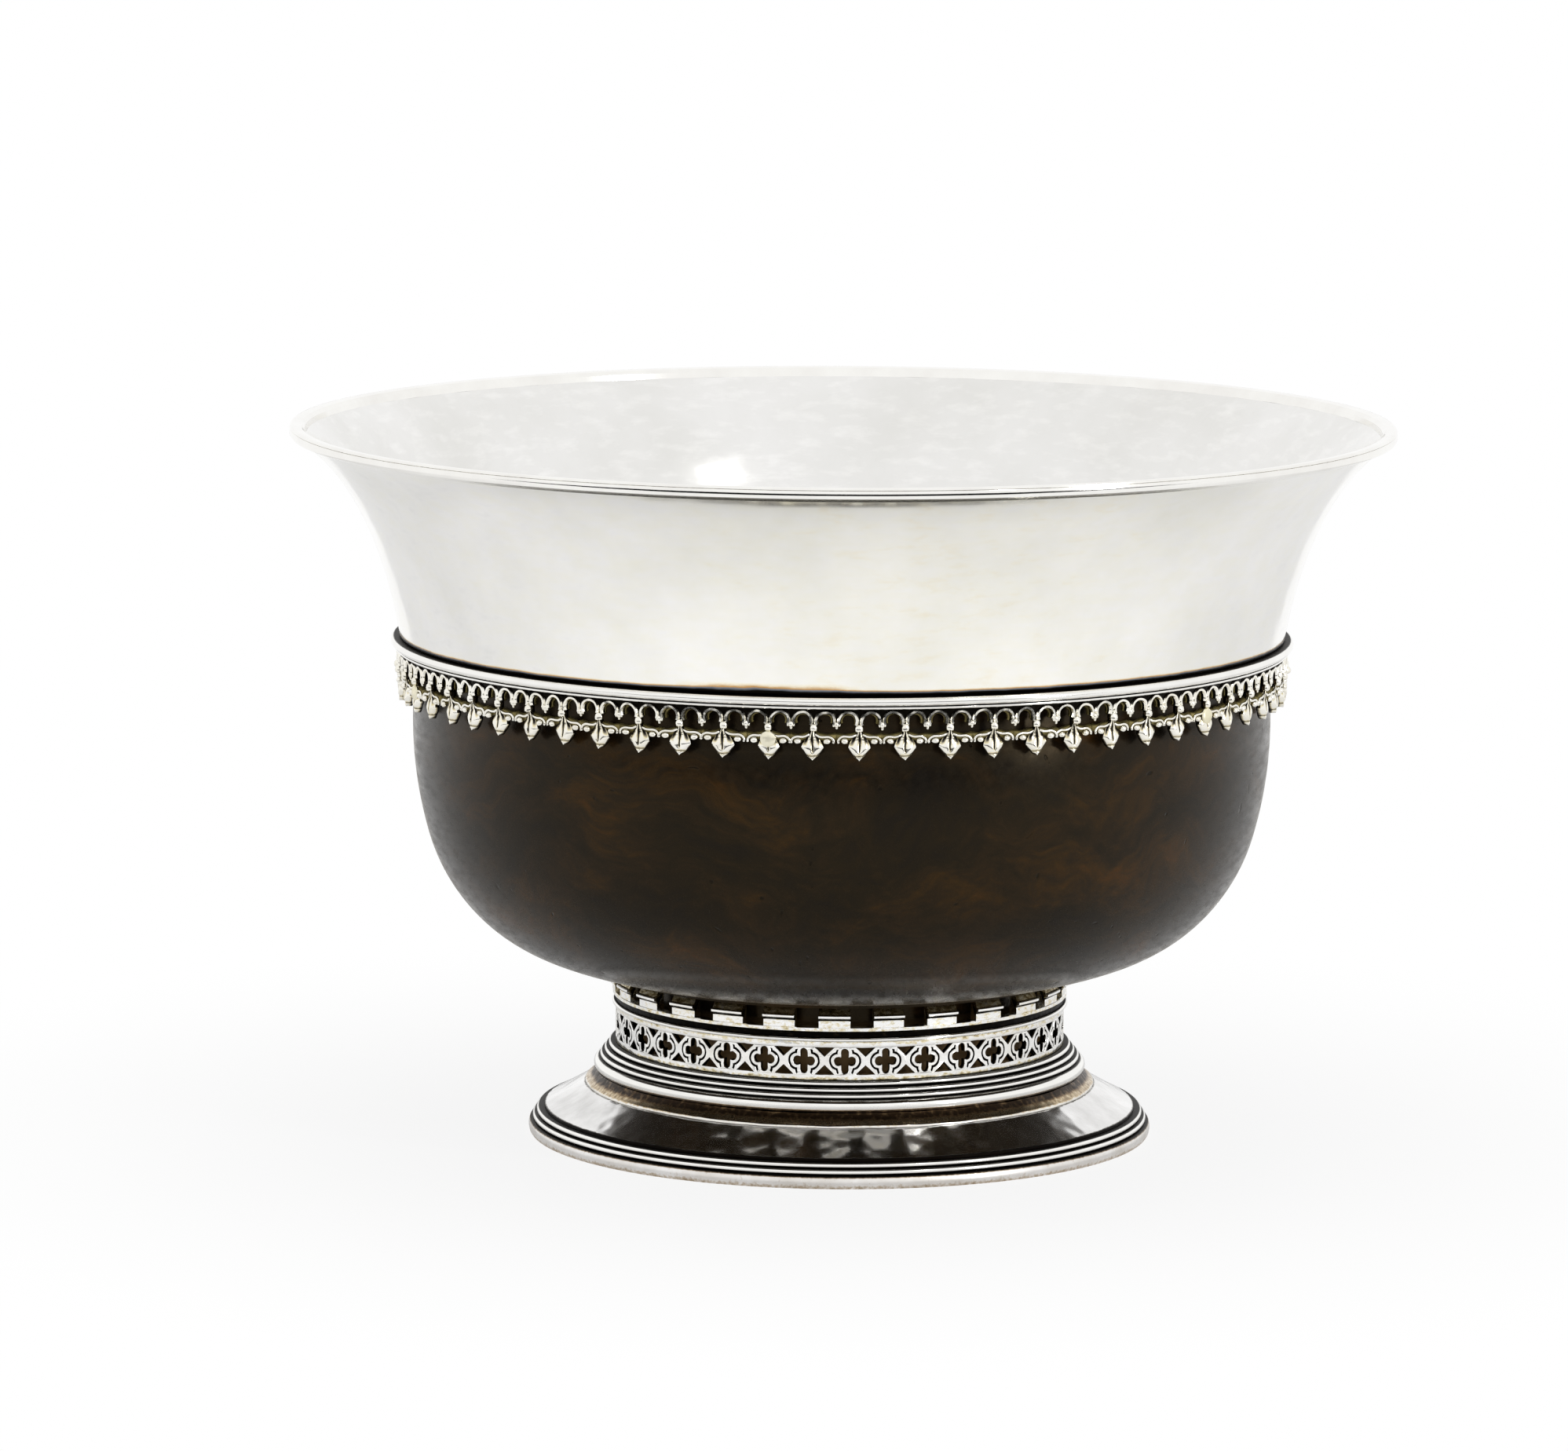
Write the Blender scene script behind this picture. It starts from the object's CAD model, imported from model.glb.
# %% [markdown]
# # A mazer bowl
#
# A mazer is a drinking bowl turned from burr wood and mounted in silver. This one has a
# flared, hammered rim band with a cresting of little arches and fleurs-de-lis hanging from
# it, and a moulded foot with a battlement and a pierced band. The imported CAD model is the
# frame: every piece below is made at its CAD place, in metres, and stands for its node.

import random
from math import atan2, cos, exp, hypot, pi, radians, sin, sqrt

import bpy
from mathutils import Matrix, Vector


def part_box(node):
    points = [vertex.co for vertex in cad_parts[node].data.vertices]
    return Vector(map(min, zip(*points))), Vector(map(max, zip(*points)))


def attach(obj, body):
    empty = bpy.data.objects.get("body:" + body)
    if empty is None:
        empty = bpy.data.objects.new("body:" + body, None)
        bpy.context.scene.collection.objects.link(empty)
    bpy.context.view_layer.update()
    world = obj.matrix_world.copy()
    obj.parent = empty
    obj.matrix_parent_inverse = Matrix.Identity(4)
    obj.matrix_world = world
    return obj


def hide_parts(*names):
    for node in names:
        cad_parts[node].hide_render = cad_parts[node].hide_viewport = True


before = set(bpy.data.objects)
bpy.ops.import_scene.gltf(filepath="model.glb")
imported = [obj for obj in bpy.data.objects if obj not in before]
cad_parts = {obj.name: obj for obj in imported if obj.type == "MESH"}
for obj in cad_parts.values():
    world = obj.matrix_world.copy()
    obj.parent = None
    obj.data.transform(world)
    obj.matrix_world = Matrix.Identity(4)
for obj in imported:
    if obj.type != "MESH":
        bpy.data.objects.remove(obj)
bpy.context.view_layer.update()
MM = 0.001
print("CAD nodes in the frame:", len(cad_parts))

# %% [markdown]
# ## Camera
#
# The camera comes first, so that everything after it can be judged in the photograph's
# view. Its place and lens were found by fitting the ellipses of the lip, ring, neck and
# base together. It stands 1.36 m away and looks down by about 8 degrees, with a long lens.

# %% Place the camera
camera_distance = 1.35906
camera_height = 0.26653
camera_lens = 194.98
camera_pitch = radians(8.386)
camera_yaw = radians(0.392)
camera_roll = radians(0.30)

camera_data = bpy.data.cameras.new("product_camera")
camera_data.sensor_width = 36.0
camera_data.lens = camera_lens
camera = bpy.data.objects.new("product_camera", camera_data)
bpy.context.scene.collection.objects.link(camera)
camera_turn = (
    Matrix.Rotation(camera_yaw, 4, "Z")
    @ Matrix.Rotation(pi / 2 - camera_pitch, 4, "X")
    @ Matrix.Rotation(camera_roll, 4, "Z")
)
camera.matrix_world = Matrix.Translation((0, -camera_distance, camera_height)) @ camera_turn
bpy.context.scene.camera = camera
bpy.context.scene.view_settings.view_transform = "Standard"
print("Camera at", [round(v, 3) for v in camera.matrix_world.translation])

# %% [markdown]
# ## Shader helpers
#
# A finish is a small net of nodes. One helper adds a node, sets its values and links it: a
# node that is given as a source stands for its first output. Another helper turns the hex
# colours of a paint chart into the linear ones of a shader.

# %% Colour and node helpers
def from_hex(text):
    """Turn an sRGB hex colour into the linear colour that a shader uses."""
    channels = [int(text[i:i + 2], 16) / 255 for i in (1, 3, 5)]
    linear = [c / 12.92 if c <= 0.04045 else ((c + 0.055) / 1.055) ** 2.4 for c in channels]
    return (*linear, 1.0)


def add_node(tree, kind, settings=None, links=None):
    """Add a shader node, set its inputs, properties or colour stops, and link sources to its inputs."""
    node = tree.nodes.new("ShaderNode" + kind)
    for name, value in (settings or {}).items():
        if name == "stops":
            marks = node.color_ramp.elements
            marks[0].position, marks[0].color = value[0][0], from_hex(value[0][1])
            marks[1].position, marks[1].color = value[-1][0], from_hex(value[-1][1])
            for position, colour in value[1:-1]:
                marks.new(position).color = from_hex(colour)
        elif isinstance(name, int) or name in node.inputs:
            node.inputs[name].default_value = value
        else:
            setattr(node, name, value)
    for name, source in (links or {}).items():
        output = source.outputs[0] if isinstance(source, bpy.types.Node) else source
        tree.links.new(output, node.inputs[name])
    return node


def start_material(name):
    """Make an empty material and return it with its node tree."""
    material = bpy.data.materials.new(name)
    material.use_nodes = True
    material.node_tree.nodes.clear()
    return material, material.node_tree


print("A mid grey of #808080 is", round(from_hex("#808080")[0], 3), "in linear light")

# %% [markdown]
# ## Silver
#
# All the mounts are sterling silver, a metal that mirrors nearly all the light it gets,
# slightly warm. What tells one part from another is how it was worked and how it is
# handled: hammered sheet shows soft dents and a satin bloom, drawn wire is bright on its
# crown, and castings keep the black of old tarnish in every recess. The dirt is
# stored on each piece as a value called grime, from 0 on the polished crown to 1 deep in a
# groove, and fine noise makes its edge ragged, as polishing does.

# %% Silver finishes
def make_silver(name, clean, cloudy, dirt, polish, worn, ragged_mm, dents_mm, dent_depth_mm,
                grain_depth_mm, stretch=1.0, cloud_mm=9.0):
    """Return a silver finish, where dirt lists colour stops over grime, and polish is a roughness."""
    material, tree = start_material(name)
    place = add_node(tree, "TexCoord").outputs["Object"]
    grime = add_node(tree, "Attribute", {"attribute_name": "grime"}).outputs["Fac"]
    clouds = add_node(tree, "TexNoise",
                      {"Scale": 1 / (cloud_mm * MM), "Detail": 5.0, "Roughness": 0.6}, {"Vector": place})
    along = add_node(tree, "Mapping", {"Scale": (1 / stretch, 1 / stretch, 1.0)}, {"Vector": place})
    speckle = add_node(tree, "TexNoise", {"Scale": 1 / (ragged_mm * MM), "Detail": 4.0, "Roughness": 0.55},
                       {"Vector": along})
    cloud_amount = add_node(tree, "MapRange", {"From Min": 0.35, "From Max": 0.7}, {"Value": clouds})
    metal = add_node(tree, "Mix", {"data_type": "RGBA", 6: from_hex(clean), 7: from_hex(cloudy)},
                     {0: cloud_amount})
    around_zero = add_node(tree, "Math", {"operation": "SUBTRACT", 1: 0.5}, {0: speckle})
    ragged = add_node(tree, "Math", {"operation": "MULTIPLY_ADD", 1: worn}, {0: around_zero, 2: grime})
    stain = add_node(tree, "ValToRGB", {"stops": dirt}, {"Fac": ragged})
    colour = add_node(tree, "Mix", {"data_type": "RGBA", "blend_type": "MULTIPLY", 0: 1.0},
                      {6: metal.outputs[2], 7: stain})
    dulled = add_node(tree, "MapRange",
                      {"From Min": 0.25, "From Max": 0.9, "To Min": polish, "To Max": 0.55},
                      {"Value": ragged})
    bloom = add_node(tree, "Math", {"operation": "MULTIPLY_ADD", 1: 0.5 * polish},
                     {0: around_zero, 2: dulled})
    dents = add_node(tree, "TexVoronoi",
                     {"feature": "SMOOTH_F1", "Scale": 1 / (dents_mm * MM), "Smoothness": 0.6},
                     {"Vector": place})
    hammered = add_node(tree, "Bump", {"Strength": 1.0, "Distance": dent_depth_mm * MM}, {"Height": dents})
    grain = add_node(tree, "Bump", {"Strength": 1.0, "Distance": grain_depth_mm * MM},
                     {"Height": speckle, "Normal": hammered})
    silver = add_node(tree, "BsdfPrincipled", {"Metallic": 1.0},
                      {"Base Color": colour.outputs[2], "Roughness": bloom, "Normal": grain})
    add_node(tree, "OutputMaterial", None, {"Surface": silver})
    print("Finish:", name)
    return material


# Old tarnish starts straw yellow, then turns blue-grey and at last black. In the openings of
# the castings it ends in the olive of stale polish.
rim_dirt = [(0.00, "#F1F1F0"), (0.11, "#FFFFFE"), (0.22, "#FFFEF6"), (0.31, "#FCF4DE"),
            (0.43, "#CFA060"), (0.52, "#868B94"), (0.68, "#16130F")]
wire_dirt = [(0.30, "#FFFFFF"), (0.48, "#8F8A80"), (0.62, "#1A1613")]
cast_dirt = [(0.05, "#FFFFFF"), (0.15, "#F2E8C6"), (0.25, "#ABA598"), (0.36, "#5E5A54"), (0.50, "#1A1816"),
             (0.74, "#0B0907"), (0.86, "#80764F"), (1.00, "#8F855C")]
sawn_dirt = [(0.22, "#FFFFFF"), (0.34, "#E9DDB9"), (0.44, "#8E7B52"), (0.56, "#2A231A"), (0.75, "#0C0A08")]
cove_dirt = [(0.20, "#FFFFFF"), (0.34, "#D9C7A8"), (0.48, "#8C7558"), (0.62, "#3A2C20"), (0.80, "#15110D")]
dull_dirt = [(0.18, "#FFFFFF"), (0.34, "#CDBFAC"), (0.52, "#7C6F60"), (0.75, "#1E1A16")]

planished_silver = make_silver("planished_silver", "#FCFBFA", "#F0EFEC", rim_dirt, polish=0.12, worn=0.26,
                               ragged_mm=1.6, dents_mm=4.5, dent_depth_mm=0.012, grain_depth_mm=0.001,
                               stretch=3.0, cloud_mm=26.0)
skirt_silver = make_silver("polished_sheet_silver", "#F4F3F2", "#CFCECC", wire_dirt, polish=0.13, worn=0.5,
                           ragged_mm=0.9, dents_mm=3.5, dent_depth_mm=0.05, grain_depth_mm=0.0015)
bright_silver = make_silver("drawn_wire_silver", "#F7F6F2", "#EFEDE9", wire_dirt, polish=0.10, worn=0.35,
                            ragged_mm=0.5, dents_mm=2.5, dent_depth_mm=0.006, grain_depth_mm=0.001)
peened_silver = make_silver("peened_silver", "#F4EFDA", "#E9E2C4", dull_dirt, polish=0.38, worn=0.3,
                            ragged_mm=0.5, dents_mm=0.8, dent_depth_mm=0.03, grain_depth_mm=0.006)
cast_silver = make_silver("cast_silver", "#F9F7EF", "#EFEADB", cast_dirt, polish=0.16, worn=0.3,
                          ragged_mm=0.5, dents_mm=0.9, dent_depth_mm=0.02, grain_depth_mm=0.003)
sawn_silver = make_silver("sawn_silver", "#FFFFFE", "#F8F5EE", sawn_dirt, polish=0.16, worn=0.7,
                          ragged_mm=0.5, dents_mm=0.9, dent_depth_mm=0.03, grain_depth_mm=0.004, stretch=2.0)
cove_silver = make_silver("stained_cove_silver", "#F3F1EC", "#E3DED4", cove_dirt, polish=0.16, worn=0.5,
                          ragged_mm=0.8, dents_mm=2.0, dent_depth_mm=0.02, grain_depth_mm=0.004)
dull_silver = make_silver("worn_silver", "#F0EEEC", "#D6D0C8", dull_dirt, polish=0.32, worn=0.55,
                          ragged_mm=0.6, dents_mm=1.5, dent_depth_mm=0.01, grain_depth_mm=0.006)

# %% [markdown]
# ## Burr wood
#
# Burr grows without a straight grain, so its figure is swirls and clouds of reddish brown
# in near-black, with pin knots and fine pores. Centuries of handling have turned it dark
# and left a waxed satin with a web of fine scratches. Noise that is bent by another noise
# gives the swirls, and small distances to scattered points give the pores. A warm sheen
# stands for the wax, which glows where it is seen edge on. The spigot, seen through the
# pierced band, was never waxed or handled, so it stays light brown.

# %% Waxed burr wood
burr_wood, tree = start_material("waxed_burr_wood")
place = add_node(tree, "TexCoord").outputs["Object"]
swirl = add_node(tree, "TexNoise", {"Scale": 1 / (28 * MM), "Detail": 3.0}, {"Vector": place})
swirl_move = add_node(tree, "VectorMath", {"operation": "MULTIPLY_ADD", 1: (0.03, 0.03, 0.03)},
                      {0: swirl.outputs["Color"], 2: place})
flow = add_node(tree, "Mapping", {"Rotation": (0.4, 0.75, 0.2), "Scale": (1.0, 1.0, 2.6)},
                {"Vector": swirl_move})
figure = add_node(tree, "TexNoise", {"Scale": 1 / (22 * MM), "Detail": 7.0, "Roughness": 0.62},
                  {"Vector": flow})
streaks = add_node(tree, "TexNoise", {"Scale": 1 / (3.2 * MM), "Detail": 5.0, "Roughness": 0.6},
                   {"Vector": flow})
figure_mix = add_node(tree, "Math", {"operation": "MULTIPLY_ADD", 1: 0.30}, {0: streaks, 2: figure})
burr_browns = [(0.48, "#131110"), (0.60, "#1A150F"), (0.69, "#231A11"), (0.78, "#302110"), (0.88, "#402810")]
wood_colour = add_node(tree, "ValToRGB", {"stops": burr_browns}, {"Fac": figure_mix})
axes = add_node(tree, "SeparateXYZ", None, {"Vector": place})
waxed_down_to = 24.0 * MM
raw_below = 22.0 * MM
raw_spigot = add_node(tree, "MapRange", {"From Min": waxed_down_to, "From Max": raw_below},
                      {"Value": axes.outputs["Z"]})
stained_colour = add_node(tree, "Mix", {"data_type": "RGBA", 7: from_hex("#7A6243")},
                          {0: raw_spigot, 6: wood_colour})
pores = add_node(tree, "TexVoronoi", {"Scale": 1 / (4.5 * MM), "Randomness": 1.0}, {"Vector": swirl_move})
pore_mask = add_node(tree, "MapRange", {"From Min": 0.05, "From Max": 0.10}, {"Value": pores})
darkened = add_node(tree, "Mix", {"data_type": "RGBA", 6: from_hex("#0B0908")},
                    {0: pore_mask, 7: stained_colour.outputs[2]})
scratch_way = add_node(tree, "Mapping", {"Rotation": (0.9, 0.3, 0.5), "Scale": (1.0, 0.06, 1.0)},
                       {"Vector": place})
scratches = add_node(tree, "TexNoise", {"Scale": 1 / (1.2 * MM), "Detail": 3.0}, {"Vector": scratch_way})
satin = add_node(tree, "MapRange", {"From Min": 0.3, "From Max": 0.7, "To Min": 0.19, "To Max": 0.32},
                 {"Value": scratches})
scratched = add_node(tree, "Bump", {"Strength": 1.0, "Distance": 0.012 * MM}, {"Height": scratches})
wood_bump = add_node(tree, "Bump", {"Strength": 1.0, "Distance": 0.05 * MM},
                     {"Height": pore_mask, "Normal": scratched})
wood_surface = add_node(tree, "BsdfPrincipled",
                        {"IOR": 1.5, "Specular IOR Level": 0.22, "Specular Tint": from_hex("#E0C8A0"),
                         "Sheen Weight": 0.26, "Sheen Roughness": 0.13, "Sheen Tint": from_hex("#F6E6CC")},
                        {"Base Color": darkened.outputs[2], "Roughness": satin, "Normal": wood_bump})
add_node(tree, "OutputMaterial", None, {"Surface": wood_surface})
print("Finish:", burr_wood.name)

# %% [markdown]
# ## Modelling helpers
#
# Nearly every part of the bowl is turned or bent round one axis, so its section is drawn as
# an outline and spun. The outline is drawn as by hand: one point is extruded from place to
# place. Everything is deselected first, because an operator acts on all that is selected.

# %% Outline and spin helpers
def pick(*pieces):
    """Select only these pieces, and make the first one active."""
    bpy.ops.object.select_all(action="DESELECT")
    for piece in pieces:
        piece.select_set(True)
    bpy.context.view_layer.objects.active = pieces[0]


def apply_place(piece):
    """Apply a piece's place, turn and size to its mesh."""
    pick(piece)
    bpy.ops.object.transform_apply(location=True, rotation=True, scale=True)


def draw_outline(name, points, closed=True):
    """Draw an outline in radius and height, in mm, by extruding one point from place to place."""
    bpy.ops.object.select_all(action="DESELECT")
    x, z = points[0]
    bpy.ops.mesh.primitive_plane_add(size=MM, location=(x * MM, 0, z * MM))
    piece = bpy.context.object
    piece.name = name
    bpy.ops.object.transform_apply(location=True)
    bpy.ops.object.mode_set(mode="EDIT")
    bpy.ops.mesh.merge(type="CENTER")
    stops = points[1:] + points[:1] if closed else points[1:]
    for next_x, next_z in stops:
        step = ((next_x - x) * MM, 0, (next_z - z) * MM)
        bpy.ops.mesh.extrude_vertices_move(TRANSFORM_OT_translate={"value": step})
        x, z = next_x, next_z
    bpy.ops.mesh.select_all(action="SELECT")
    bpy.ops.mesh.remove_doubles(threshold=0.002 * MM)
    bpy.ops.object.mode_set(mode="OBJECT")
    return piece


def merge_and_face_out():
    """Join doubled points of the active piece and turn all its faces outwards."""
    bpy.ops.object.mode_set(mode="EDIT")
    bpy.ops.mesh.select_all(action="SELECT")
    bpy.ops.mesh.remove_doubles(threshold=0.002 * MM)
    bpy.ops.mesh.normals_make_consistent(inside=False)
    bpy.ops.object.mode_set(mode="OBJECT")


def spin_round(piece, steps=256, turn=360.0):
    """Spin an outline about the bowl's axis, close it where it is a part turn, and smooth it."""
    pick(piece)
    bpy.ops.object.mode_set(mode="EDIT")
    bpy.ops.mesh.select_all(action="SELECT")
    bpy.ops.mesh.spin(steps=steps, angle=radians(turn), center=(0, 0, 0), axis=(0, 0, 1))
    if turn < 360.0:
        bpy.ops.mesh.select_all(action="DESELECT")
        bpy.ops.mesh.select_non_manifold()
        bpy.ops.mesh.fill_holes(sides=0)
    bpy.ops.object.mode_set(mode="OBJECT")
    merge_and_face_out()
    bpy.ops.object.shade_smooth_by_angle(angle=radians(32))
    return piece


def mark_grime(piece, dirt_at):
    """Store each point's dirt, from 0 to 1, by its radius and height in mm and its angle from the front."""
    layer = piece.data.attributes.new("grime", "FLOAT", "POINT")
    values = []
    for vertex in piece.data.vertices:
        x, y, z = vertex.co
        values.append(dirt_at(hypot(x, y) / MM, z / MM, atan2(x, -y) * 180 / pi))
    layer.data.foreach_set("value", values)


def stain(piece, level):
    """Give a whole piece one level of grime."""
    mark_grime(piece, lambda radius, height, angle: level)
    return piece


def fade(value, start, end):
    """Run smoothly from 0 at start to 1 at end."""
    share = min(1.0, max(0.0, (value - start) / (end - start)))
    return share * share * (3 - 2 * share)


def dent(piece, texture_kind, size_mm, depth_mm, direction="NORMAL"):
    """Push the points of a piece in and out by a procedural texture, and apply it."""
    texture = bpy.data.textures.new(piece.name + "_dents", texture_kind)
    texture.noise_scale = size_mm * MM
    pick(piece)
    modifier = piece.modifiers.new("dents", "DISPLACE")
    modifier.texture = texture
    modifier.texture_coords = "LOCAL"
    modifier.direction = direction
    modifier.strength = depth_mm * MM
    modifier.mid_level = 0.5
    bpy.ops.object.modifier_apply(modifier=modifier.name)


def distort(piece, across_mm, up_mm, depth_mm):
    """Push a piece out of true along each axis, in soft clouds of one size across and another up."""
    for direction, size_mm in (("X", across_mm), ("Y", across_mm), ("Z", up_mm)):
        dent(piece, "CLOUDS", size_mm, depth_mm, direction)


def finish_piece(piece, material, slot, *nodes):
    """Give a piece its finish, and say which CAD nodes it stands for and what it rides on."""
    piece.data.materials.clear()
    piece.data.materials.append(material)
    if nodes:
        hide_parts(*nodes)
    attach(piece, "root")
    triangles = sum(len(face.vertices) - 2 for face in piece.data.polygons)
    print(f"{piece.name}: {triangles} triangles")


# %% Arc helper
def arc_points(start, heading, radius, turn, count):
    """Return points along an arc from start. The heading and turn are in degrees, left positive."""
    side = 1 if turn > 0 else -1
    centre_x = start[0] - side * radius * sin(radians(heading))
    centre_z = start[1] + side * radius * cos(radians(heading))
    points = []
    for step in range(1, count + 1):
        angle = radians(heading + turn * step / count)
        points.append((centre_x + side * radius * sin(angle), centre_z - side * radius * cos(angle)))
    return points


def arc_chain(start, heading, arcs, spacing):
    """Return points along arcs laid end to end, from start, about spacing mm apart."""
    points = [start]
    for radius, turn in arcs:
        count = max(2, round(radius * abs(radians(turn)) / spacing))
        points += arc_points(points[-1], heading, radius, turn, count)
        heading += turn
    return points, heading


def half_round(inner, outer, bottom, height, count=8):
    """Return the section of a half-round wire with its flat side inwards."""
    shoulder = outer - height / 2
    crown = arc_points((shoulder, bottom), 0, height / 2, 180, count)
    return [(inner, bottom + height), (inner, bottom), (shoulder, bottom), *crown]


print("A quarter of an arc of 10 mm has", len(arc_points((10, 0), 90, 10, 90, 8)), "points")

# %% [markdown]
# ## The turned bowl
#
# On the lathe a mazer is cut from one block, outside and in, with a spigot under it that
# goes down into the foot. The belly's curve is three arcs, as the maker's template would
# be, and a shallow rebate at the top takes the silver. The section is drawn in one closed
# outline and spun, so the wall has its real thickness.

# %% Turn the wood
belly_radius = 69.25
belly_top = 67.5
rebate_depth = 0.4
rebate_height = 73.0
wood_lip_height = 82.0
wood_wall = 5.35
spigot_radius = 33.2
spigot_bottom = 12.5
stud_hole = 2.03

belly, _ = arc_chain((belly_radius, belly_top), -90, [(66.0, -16.0), (30.2, -51.0), (50.0, -14.0)], 1.2)
hollow_radius = belly_radius - rebate_depth - wood_wall
hollow, _ = arc_chain((hollow_radius, belly_top), -90, [(60.25, -16.0), (24.45, -51.0), (44.25, -23.0)], 1.5)
seat_radius, seat_height = belly[-1]
edge_lift = 0.55
belly = [(radius, height + edge_lift * (1 - fade(radius, 38, 60))) for radius, height in belly]
floor_height = hollow[-1][1]
lip_radius = belly_radius - rebate_depth

wood_section = [
    (belly_radius, rebate_height - 1.2), *belly,
    (seat_radius - 0.5, seat_height + edge_lift - 0.1), (seat_radius - 0.5, seat_height),
    (spigot_radius, seat_height), (spigot_radius, spigot_bottom),
    (stud_hole, spigot_bottom), (stud_hole, floor_height), *reversed(hollow),
    (hollow_radius, wood_lip_height), (lip_radius, wood_lip_height), (lip_radius, rebate_height),
    (belly_radius - 0.12, rebate_height - 0.6),
]
turned_bowl = spin_round(draw_outline("turned_bowl", wood_section), 320)
finish_piece(turned_bowl, burr_wood, "burr_wood", "bowl")
print("The wood's seat is at", round(seat_height, 2), "mm and its floor at", round(floor_height, 2), "mm")

# %% [markdown]
# ## The rim band
#
# The band is one sheet of silver, raised with a hammer over a stake until it flares to the
# lip. Planishing evens it but leaves shallow round facets about 5 mm across, which mottle
# every reflection. Here the spun sheet gets real dents of a few hundredths of a millimetre,
# and its material adds finer ones. Tarnish collects where it meets the ring.

# %% Raise and planish the band
sheet = 1.0
band_foot = (71.4, 81.5)
skirt_radius = 70.0
skirt_top = 80.95
skirt_bottom = 78.7
rim_arcs = [(74.0, -13.0), (43.5, -16.0), (27.0, -15.0)]
rim_outside, lip_heading = arc_chain(band_foot, 81.0, rim_arcs, 0.9)
lip_end = rim_outside[-1]
inner_lip = (lip_end[0] - sheet * sin(radians(lip_heading)), lip_end[1] + sheet * cos(radians(lip_heading)))
rim_back = [(radius + sheet, -turn) for radius, turn in reversed(rim_arcs)]
rim_inside, _ = arc_chain(inner_lip, lip_heading + 180, rim_back, 0.9)
rim_section = [
    *rim_outside, *rim_inside,
    (skirt_radius - sheet, skirt_top), (skirt_radius - sheet, skirt_bottom),
    (skirt_radius, skirt_bottom), (skirt_radius, skirt_top),
]


def rim_grime(radius, height, angle):
    """Tarnish in the corner above the ring, most at the front, where a faint straw colour rises from it."""
    outside = min(rim_outside, key=lambda point: abs(point[1] - height))
    if radius < outside[0] - 0.5 * sheet:
        return 0.0
    front = exp(-((angle + 9) / 15) ** 2)
    corner = 1 - fade(height, 81.4, 82.1 + 1.4 * front)
    handled = 0.12 + 0.09 * exp(-((angle - 10) / 40) ** 2)
    return max(corner * 0.85, handled)


rim_sheet = spin_round(draw_outline("hammered_rim_band", rim_section), 512)
dent(rim_sheet, "VORONOI", 5.5, 0.05)
mark_grime(rim_sheet, rim_grime)
finish_piece(rim_sheet, planished_silver, "planished_silver", "rim_band")

# %% [markdown]
# ## Lip, lining and plain rings
#
# A thick wire is soldered round the lip to stiffen it, with a fine line cut near its top.
# The other rings are drawn half-round wire. Each CAD node's own box gives the wire's size,
# and only its crown is bright, because polishing never reaches into the grooves.

# %% Lip wire and the lining of the wood
lip_bottom = 113.6
lip_outer = 89.0
lip_top = 115.45
lip_line_height = 115.0
lip_section = [
    lip_end, (lip_outer - 0.5, lip_bottom), (lip_outer - 0.15, lip_bottom + 0.15),
    (lip_outer, lip_bottom + 0.5),
    (lip_outer, lip_line_height - 0.15), (lip_outer - 0.05, lip_line_height - 0.05),
    (lip_outer - 0.16, lip_line_height), (lip_outer - 0.07, lip_line_height + 0.06),
    (lip_outer - 0.1, lip_top - 0.2), (lip_outer - 0.35, lip_top - 0.03), (lip_outer - 0.7, lip_top),
    (inner_lip[0] + 0.8, lip_top - 0.15), (inner_lip[0] + 0.2, lip_top - 0.7), inner_lip,
]
lip_roll = spin_round(draw_outline("lip_roll", lip_section), 512)
mark_grime(lip_roll, lambda radius, height, angle: 0.45 if abs(height - lip_line_height) < 0.01 else 0.0)
finish_piece(lip_roll, bright_silver, "bright_silver", "lip_wire")

lining_inner = hollow_radius - 0.8
lining_bottom = wood_lip_height - 7.5
flange_outer = 70.15
lining_top = wood_lip_height + 0.8
lining_section = [
    (lining_inner, lining_bottom), (hollow_radius, lining_bottom), (hollow_radius, wood_lip_height),
    (flange_outer, wood_lip_height), (flange_outer, lining_top - 0.1), (flange_outer - 0.1, lining_top),
    (lining_inner + 0.3, lining_top), (lining_inner, lining_top - 0.3),
]
lining = spin_round(draw_outline("collar_lining", lining_section), 256)
finish_piece(lining, planished_silver, "planished_silver", "inner_collar")

# %% Half-round rings
def make_ring(name, node, inner, crown_points=10, steps=320):
    """Spin a half-round wire to the size of its CAD node, dirty in the grooves beside it."""
    low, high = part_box(node)
    outer, bottom, height = high.x / MM, low.z / MM, (high.z - low.z) / MM
    ring = spin_round(draw_outline(name, half_round(inner, outer, bottom, height, crown_points)), steps)
    clean_to, black_from = 0.175 * height, 0.475 * height
    mark_grime(ring, lambda radius, height, angle: fade(outer - radius, clean_to, black_from))
    finish_piece(ring, bright_silver, "bright_silver", node)
    return ring


neck_radius = 36.4
base_wall_radius = 47.25
print_radius = 19.0
make_ring("rim_ring", "ring_bead", skirt_radius)
make_ring("fine_fillet", "ring_fillet", skirt_radius, 6)
make_ring("neck_ring", "neck_wire", neck_radius)
make_ring("foot_ring_top", "foot_bead_upper", neck_radius)
make_ring("foot_ring_middle", "foot_bead_middle", neck_radius)
make_ring("foot_ring_low", "foot_bead_lower", neck_radius)
make_ring("foot_torus", "torus_ring", neck_radius, 16)
make_ring("reed_top", "reed_upper", base_wall_radius)
make_ring("reed_low", "reed_lower", base_wall_radius)
make_ring("print_ring", "print_border", print_radius, 10, 160)

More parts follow.
